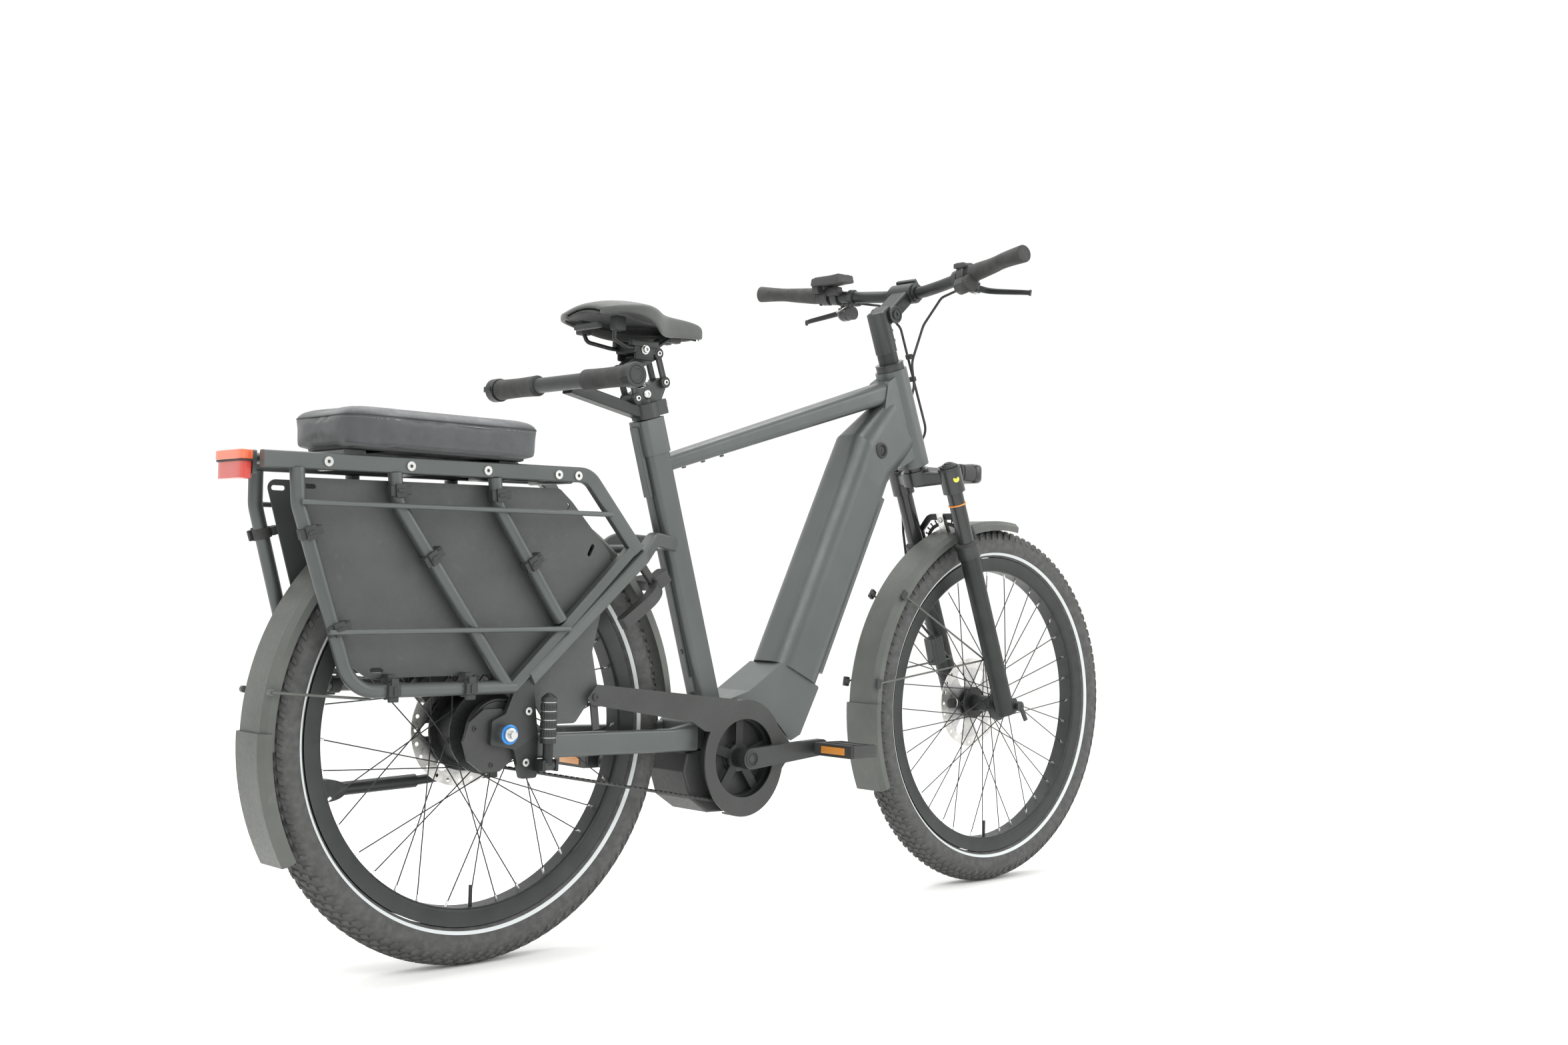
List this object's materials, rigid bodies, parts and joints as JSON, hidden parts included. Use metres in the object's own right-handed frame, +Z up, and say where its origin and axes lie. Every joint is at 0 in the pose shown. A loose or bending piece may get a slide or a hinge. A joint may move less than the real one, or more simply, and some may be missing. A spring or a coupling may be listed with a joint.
{
  "type": "electric longtail cargo bicycle",
  "caption": "Compact electric longtail cargo bicycle with rear passenger rack, padded seat, mudguards, belt drive and suspension fork.",
  "frame": {"origin": "on the ground, under the middle of the bicycle's length and width", "axes": "+X forward, +Y the rider's left, +Z up"},
  "size_m": [2.012, 0.6968, 1.2087],
  "materials": {
    "frame_paint": "matt dark grey-green powder coat",
    "cover_paint": "satin dark grey moulded battery cover",
    "panel_plastic": "thin textured black polymer sheet",
    "black_plastic": "moulded black plastic",
    "gloss_black": "gloss black enamel on steel tube",
    "black_alloy": "satin black anodised alloy",
    "rubber": "matt black rubber",
    "tyre": "black tyre with a reflective side band",
    "steel": "bright steel",
    "rotor_steel": "brushed stainless brake disc",
    "cushion": "black coated fabric seat cover",
    "saddle": "matt black synthetic cover",
    "red_lens": "red moulded lens and reflector",
    "belt": "black toothed polyurethane belt",
    "bolt_steel": "stainless bolt heads and nuts"
  },
  "bodies": {
    "frame": {"head_tube": "frame_paint", "top_tube": "frame_paint", "down_tube": "frame_paint", "seat_tube": "frame_paint", "seat_stays": "frame_paint", "chain_stays": "frame_paint", "drop_outs": "frame_paint", "rack_sides": "frame_paint", "rack_deck": "frame_paint", "side_panels": "panel_plastic", "panel_straps": "rubber", "passenger_cushion": "cushion", "tail_lights": "red_lens", "rear_mudguard": "black_plastic", "drive_unit": "black_plastic", "belt_guard": "black_plastic", "battery": "cover_paint", "ring_lock": "black_plastic", "frame_bolts": "bolt_steel", "toothed_belt": "belt", "rear_caliper": "black_alloy", "passenger_bar": "black_alloy", "passenger_grips": "rubber", "seatpost": "black_alloy", "seat_spring": "steel"},
    "steering": {"fork_crown": "gloss_black", "stem": "black_alloy", "handlebar": "black_alloy", "bar_grips": "rubber", "bar_controls": "black_plastic", "headlight": "black_plastic", "bar_hoses": "rubber"},
    "lowers": {"fork_lowers": "black_alloy", "front_axle": "black_alloy", "front_mudguard": "black_plastic", "front_caliper": "black_alloy"},
    "front_wheel": {"front_tyre": "tyre", "front_rim": "black_alloy", "front_spokes": "steel", "front_hub": "black_alloy", "front_rotor": "rotor_steel"},
    "rear_wheel": {"rear_tyre": "tyre", "rear_rim": "black_alloy", "rear_spokes": "steel", "rear_hub": "black_alloy", "rear_rotor": "rotor_steel", "rear_sprocket": "black_alloy"},
    "crankset": {"front_sprocket": "black_alloy", "cranks": "black_alloy"},
    "pedal_right": {"pedal_right": "black_plastic"},
    "pedal_left": {"pedal_left": "black_plastic"},
    "brake_lever_right": {"brake_lever_right": "black_alloy"},
    "brake_lever_left": {"brake_lever_left": "black_alloy"},
    "front_link": {"front_link": "black_alloy"},
    "rear_link": {"rear_link": "black_alloy"},
    "saddle_head": {"seat_head": "black_alloy", "saddle": "saddle"},
    "kickstand": {"kickstand": "black_alloy"},
    "foot_peg_right": {"foot_peg_right": "black_alloy"},
    "foot_peg_left": {"foot_peg_left": "black_alloy"}
  },
  "joints": [
    {"name": "steering", "type": "hinge", "parent": "frame", "child": "steering", "pos_m": [0.37953, 0, 0.91602], "axis": [-0.3633, 0, 0.9317], "range_deg": [-60, 60]},
    {"name": "fork_travel", "type": "slide", "parent": "steering", "child": "lowers", "axis": [-0.3633, 0, 0.9317], "range_m": [0, 0.063], "stiffness_N_per_m": 6000, "springref_m": -0.02, "deforming": ["bar_hoses"]},
    {"name": "front_wheel_spin", "type": "hinge", "parent": "lowers", "child": "front_wheel", "pos_m": [0.649, 0, 0.357], "axis": [0, 1, 0], "continuous": true},
    {"name": "rear_wheel_spin", "type": "hinge", "parent": "frame", "child": "rear_wheel", "pos_m": [-0.587, 0, 0.357], "axis": [0, 1, 0], "continuous": true},
    {"name": "crank_spin", "type": "hinge", "parent": "frame", "child": "crankset", "pos_m": [-0.089, 0, 0.293], "axis": [0, 1, 0], "continuous": true},
    {"name": "pedal_right_spin", "type": "hinge", "parent": "crankset", "child": "pedal_right", "pos_m": [0.08059, -0.152, 0.30486], "axis": [0, 1, 0], "continuous": true},
    {"name": "pedal_left_spin", "type": "hinge", "parent": "crankset", "child": "pedal_left", "pos_m": [-0.25859, 0.152, 0.28114], "axis": [0, 1, 0], "continuous": true},
    {"name": "brake_right", "type": "hinge", "parent": "steering", "child": "brake_lever_right", "pos_m": [0.38747, -0.17179, 1.15805], "axis": [0, 0, -1], "range_deg": [0, 12], "stiffness_Nm_per_rad": 4, "springref_deg": -17.19},
    {"name": "brake_left", "type": "hinge", "parent": "steering", "child": "brake_lever_left", "pos_m": [0.38747, 0.17179, 1.15805], "axis": [0, 0, 1], "range_deg": [0, 12], "stiffness_Nm_per_rad": 4, "springref_deg": -17.19},
    {"name": "seat_front_link", "type": "hinge", "parent": "frame", "child": "front_link", "pos_m": [-0.23628, 0, 0.9296], "axis": [0, -1, 0], "range_deg": [0, 30], "stiffness_Nm_per_rad": 60, "springref_deg": -17.19, "deforming": ["seat_spring"]},
    {"name": "seat_rear_link", "type": "hinge", "parent": "frame", "child": "rear_link", "pos_m": [-0.29542, 0, 0.89712], "axis": [0, -1, 0], "range_deg": [0, 30]},
    {"name": "saddle_level", "type": "hinge", "parent": "front_link", "child": "saddle_head", "pos_m": [-0.25265, 0, 0.97689], "axis": [0, 1, 0], "range_deg": [0, 30]},
    {"name": "kickstand_fold", "type": "hinge", "parent": "frame", "child": "kickstand", "pos_m": [-0.505, 0.093, 0.283], "axis": [0, -1, 0], "range_deg": [0, 95]},
    {"name": "foot_peg_right_fold", "type": "hinge", "parent": "frame", "child": "foot_peg_right", "pos_m": [-0.517, -0.095, 0.307], "axis": [1, 0, 0], "range_deg": [0, 90]},
    {"name": "foot_peg_left_fold", "type": "hinge", "parent": "frame", "child": "foot_peg_left", "pos_m": [-0.517, 0.095, 0.307], "axis": [-1, 0, 0], "range_deg": [0, 90]}
  ],
  "couplings": [
    {"joint": "seat_rear_link", "follows": "seat_front_link", "ratio": 1},
    {"joint": "saddle_level", "follows": "seat_front_link", "ratio": 1}
  ]
}
